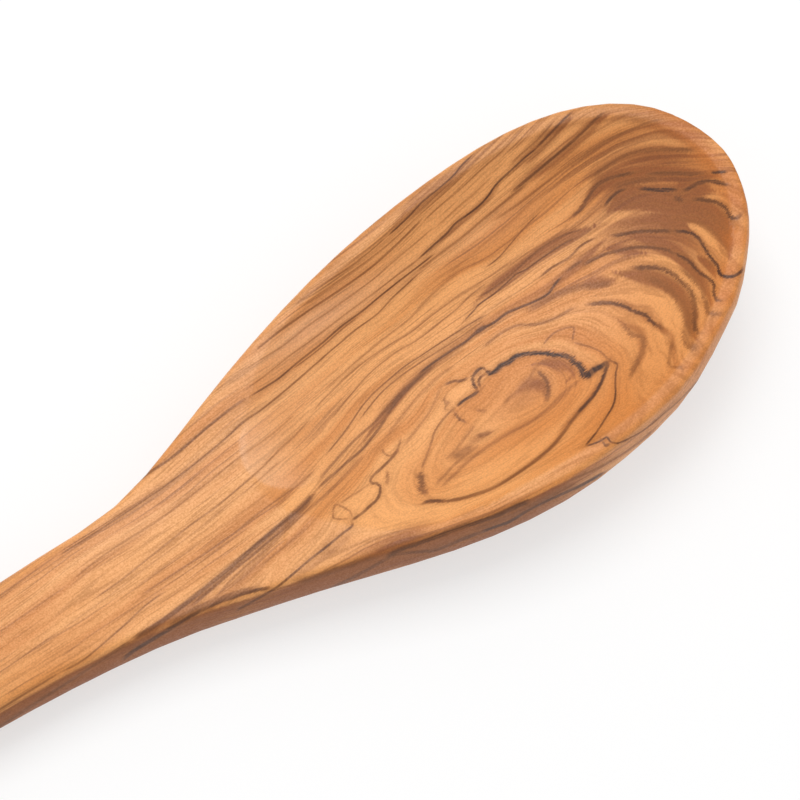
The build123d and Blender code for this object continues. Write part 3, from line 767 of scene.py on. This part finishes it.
# The lines are faint inside the knot, and strongest where the wood is dark or browned with painted
# shade.
band_share = add_node(tree, "MapRange", SMOOTHLY, {
    "Value": noises["band"], "From Min": 0.40, "From Max": 0.66})
outside_knot = add_node(tree, "MapRange", SMOOTHLY, {
    "Value": ring_read.outputs["Fac"], "From Min": 8.0, "From Max": 13.0,
    "To Min": 0.20, "To Max": 1.0})
dark_share = add_node(tree, "Math", {"operation": "MAXIMUM"}, {
    0: tint.outputs[BROWN_AND_SHADE], 1: band_share.outputs[0]})
line_amount = add_node(tree, "MapRange", {}, {
    "Value": dark_share.outputs[0], "To Min": 0.18, "To Max": 0.52})
line_most = add_node(tree, "Math", {"operation": "MULTIPLY"}, {
    0: line_amount.outputs[0], 1: outside_knot.outputs[0]})
line_share = add_node(tree, "MapRange", SMOOTHLY, {
    "Value": noises["line"], "From Min": 0.58, "From Max": 0.63,
    "To Max": line_most.outputs[0]})
fibre_most = add_node(tree, "MapRange", {}, {
    "Value": outside_knot.outputs[0], "To Min": 0.12, "To Max": 0.32})
fibre_share = add_node(tree, "MapRange", SMOOTHLY, {
    "Value": noises["fibre"], "From Min": 0.52, "From Max": 0.64,
    "To Max": fibre_most.outputs[0]})
# The brown tint carries painted shade as well as the wood's browns, and the pale tint painted light
# as well as its pale wood.
streaky = add_node(tree, "Math", {"operation": "ADD"}, {0: noises["line"], 1: tint.outputs[BROWN_AND_SHADE]})
brown_and_shade_share = add_node(tree, "MapRange", SMOOTHLY, {
    "Value": streaky.outputs[0], "From Min": 0.62, "From Max": 1.40, "To Max": 0.88})
pale_and_light_share = add_node(tree, "Math", {"operation": "MULTIPLY"}, {0: tint.outputs[PALE_AND_LIGHT], 1: 0.5})
warm_share = add_node(tree, "Math", {"operation": "MULTIPLY"}, {0: tint.outputs[WARM], 1: 0.75})

colour = add_node(tree, "Mix", COLOURS, {
    "Factor": band_share.outputs[0], 6: srgb("#EAA462"), 7: srgb("#D48845")})
for share, code in [
    (brown_and_shade_share, "#87471C"),
    (fibre_share, "#A5672F"),
    (line_share, "#7F4823"),
    (pale_and_light_share, "#F0BC96"),
    (warm_share, "#C46E26"),
]:
    colour = add_node(tree, "Mix", COLOURS, {
        "Factor": share.outputs[0], 6: colour.outputs[2], 7: srgb(code)})

# The veins, ragged where fibres cross them, with a brown stain beside them. The
# faint ones are brown and the strong ones nearly black.
VEIN_STAIN = "#A4652F"
FAINT_VEIN, MIDDLE_VEIN, STRONG_VEIN = "#9A5C2A", "#74431D", "#42261A"
ragged = add_node(tree, "MapRange", {}, {
    "Value": fleck.outputs[0], "From Min": 0.25, "From Max": 0.75,
    "To Min": -0.75, "To Max": 0.75})
broken = add_node(tree, "MapRange", {}, {
    "Value": noises["fibre"], "From Min": 0.38, "From Max": 0.58,
    "To Min": 0.80, "To Max": 1.10})
for number in range(len(vein_layers)):
    vein_read = add_node(tree, "Attribute", {"attribute_name": f"vein_{number}"}, {})
    vein = add_node(tree, "SeparateXYZ", {}, {0: vein_read.outputs["Vector"]})
    side, half_width, darkness = vein.outputs
    crossing = add_node(tree, "Attribute", {"attribute_name": f"crossing_{number}"}, {})
    ragged_side = add_node(tree, "Math", {"operation": "MULTIPLY_ADD"}, {
        0: ragged.outputs[0], 1: crossing.outputs["Fac"], 2: side})
    distance = add_node(tree, "Math", {"operation": "ABSOLUTE"}, {0: ragged_side.outputs[0]})
    from_edge = add_node(tree, "Math", {"operation": "SUBTRACT"}, {
        0: distance.outputs[0], 1: half_width})
    stain = add_node(tree, "MapRange", SMOOTHLY, {
        "Value": from_edge.outputs[0], "From Min": -0.3, "From Max": 1.0,
        "To Min": 0.50, "To Max": 0.0})
    stain_share = add_node(tree, "Math", {"operation": "MULTIPLY"}, {
        0: stain.outputs[0], 1: darkness})
    stained = add_node(tree, "Mix", COLOURS, {
        "Factor": stain_share.outputs[0], 6: colour.outputs[2], 7: srgb(VEIN_STAIN)})
    out_share = add_node(tree, "Math", {"operation": "DIVIDE"}, {
        0: distance.outputs[0], 1: half_width})
    core = add_node(tree, "MapRange", SMOOTHLY, {
        "Value": out_share.outputs[0], "From Min": 0.40, "From Max": 1.35,
        "To Min": 1.0, "To Max": 0.0})
    solid = add_node(tree, "MapRange", SMOOTHLY, {
        "Value": darkness, "From Min": 0.0, "From Max": 0.75, "To Max": 0.92})
    core_broken = add_node(tree, "Math", {"operation": "MULTIPLY"}, {
        0: core.outputs[0], 1: broken.outputs[0]})
    core_share = add_node(tree, "Math", {"operation": "MULTIPLY", "use_clamp": True}, {
        0: core_broken.outputs[0], 1: solid.outputs[0]})
    shade = add_node(tree, "ValToRGB", {}, {0: darkness})
    stops = shade.color_ramp.elements
    stops[0].position, stops[1].position = 0.30, 0.95
    stops[0].color, stops[1].color = srgb(FAINT_VEIN), srgb(STRONG_VEIN)
    stops.new(0.62).color = srgb(MIDDLE_VEIN)
    colour = add_node(tree, "Mix", COLOURS, {
        "Factor": core_share.outputs[0], 6: stained.outputs[2], 7: shade.outputs[0]})

# Fibres and pores lighten and darken the whole by up to about a tenth, and make it
# glossier and duller as they do.
SPECK_DEPTH = 2.2
GRAIN_DEPTH = 0.15 * MM
speckled = add_node(tree, "Math", {"operation": "ADD"}, {0: speck.outputs[0], 1: -0.5})
flecked = add_node(tree, "Math", {"operation": "MULTIPLY_ADD"}, {
    0: speckled.outputs[0], 1: SPECK_DEPTH, 2: fleck.outputs[0]})
grainy = add_node(tree, "Math", {"operation": "ADD"}, {0: noises["fibre"], 1: flecked.outputs[0]})
lightness = add_node(tree, "MapRange", {}, {
    "Value": grainy.outputs[0], "From Min": 0.6, "From Max": 1.4,
    "To Min": 1.10, "To Max": 0.88})
finished = add_node(tree, "HueSaturation", {}, {
    "Color": colour.outputs[2], "Value": lightness.outputs[0]})
dullness = add_node(tree, "MapRange", {}, {
    "Value": grainy.outputs[0], "From Min": 0.6, "From Max": 1.4,
    "To Min": 0.42, "To Max": 0.60})
grain_bump = add_node(tree, "Bump", {}, {
    "Height": grainy.outputs[0], "Strength": 0.12, "Distance": GRAIN_DEPTH})
tree.links.new(finished.outputs[0], shader.inputs["Base Color"])
tree.links.new(dullness.outputs[0], shader.inputs["Roughness"])
tree.links.new(grain_bump.outputs[0], shader.inputs["Normal"])
shader.inputs["IOR"].default_value = 1.45

spoon.data.materials.clear()
spoon.data.materials.append(wood)
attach(spoon, "root")
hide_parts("spoon")


# THE FLOOR
# A sheet of white paper on the studio table. It isn't part of the spoon, which rests
# on it on its belly and on its heel.

PAPER_SIZE = 6
bpy.ops.object.select_all(action="DESELECT")
bpy.ops.mesh.primitive_plane_add(size=PAPER_SIZE, location=(0, 0, 0))
floor = bpy.context.object
floor.name = "studio_paper"

# Matte white paper. The photograph's white is nearly free of shadow, so the camera
# sees the paper's shadow fainter than it is.
PAPER_GLOW = 0.6
paper = bpy.data.materials.new("white_paper_matte")
paper.use_nodes = True
paper_tree = paper.node_tree
paper_shader = paper_tree.nodes["Principled BSDF"]
paper_shader.inputs["Base Color"].default_value = srgb("#FAFAFA")
paper_shader.inputs["Roughness"].default_value = 0.9
ray = add_node(paper_tree, "LightPath", {}, {})
seen_or_mirrored = add_node(paper_tree, "Math", {"operation": "ADD"}, {
    0: ray.outputs["Is Camera Ray"], 1: ray.outputs["Is Glossy Ray"]})
looked_at = add_node(paper_tree, "Math", {"operation": "ADD", "use_clamp": True}, {
    0: seen_or_mirrored.outputs[0], 1: ray.outputs["Is Transmission Ray"]})
glow_share = add_node(paper_tree, "Math", {"operation": "MULTIPLY"}, {
    0: looked_at.outputs[0], 1: PAPER_GLOW})
glow = add_node(paper_tree, "Emission", {}, {"Color": (1, 1, 1, 1), "Strength": 1.0})
paper_mix = add_node(paper_tree, "MixShader", {}, {
    0: glow_share.outputs[0], 1: paper_shader.outputs[0], 2: glow.outputs[0]})
paper_output = paper_tree.nodes["Material Output"]
paper_tree.links.new(paper_mix.outputs[0], paper_output.inputs["Surface"])
floor.data.materials.append(paper)


# THE LIGHT AND THE CAMERA
# A wide soft lamp over the far side of the spoon, light from all round, and the
# photograph's camera, which looks down into the bowl from the handle's side.

WORLD_STRENGTH = 0.63
world = bpy.data.worlds.new("studio")
bpy.context.scene.world = world
world.use_nodes = True
background = world.node_tree.nodes["Background"]
background.inputs["Color"].default_value = (1, 1, 1, 1)
background.inputs["Strength"].default_value = WORLD_STRENGTH

SOFTBOX_PLACE = Vector((0.20, 0.55, 1.3))
SOFTBOX_SIZE = 0.9
SOFTBOX_ENERGY = 11
softbox = bpy.data.lights.new("softbox", "AREA")
softbox.shape = "SQUARE"
softbox.size = SOFTBOX_SIZE
softbox.energy = SOFTBOX_ENERGY
softbox_stand = bpy.data.objects.new("softbox", softbox)
softbox_stand.location = SOFTBOX_PLACE
softbox_stand.rotation_euler = (-SOFTBOX_PLACE).to_track_quat("-Z", "Y").to_euler()
bpy.context.scene.collection.objects.link(softbox_stand)

LENS = 170.1
SENSOR_WIDTH = 36
EYE_TARGET = Vector((31.5, -0.9, 0.0))
from_rim = Matrix.Rotation(-RIM_TILT, 3, "Y")
lens = bpy.data.cameras.new("camera")
lens.lens = LENS
lens.sensor_width = SENSOR_WIDTH
camera = bpy.data.objects.new("camera", lens)
eye = (from_rim @ EYE_PLACE + THROAT_PLACE) * MM
target = (from_rim @ EYE_TARGET + THROAT_PLACE) * MM
backward = (eye - target).normalized()
right = (from_rim @ Vector((0, 0, 1))).cross(backward).normalized()
upward = backward.cross(right)
turn = Matrix((right, upward, backward)).transposed()
camera.matrix_world = Matrix.Translation(eye) @ turn.to_4x4()
bpy.context.scene.collection.objects.link(camera)
bpy.context.scene.camera = camera
bpy.context.scene.view_settings.view_transform = "Standard"
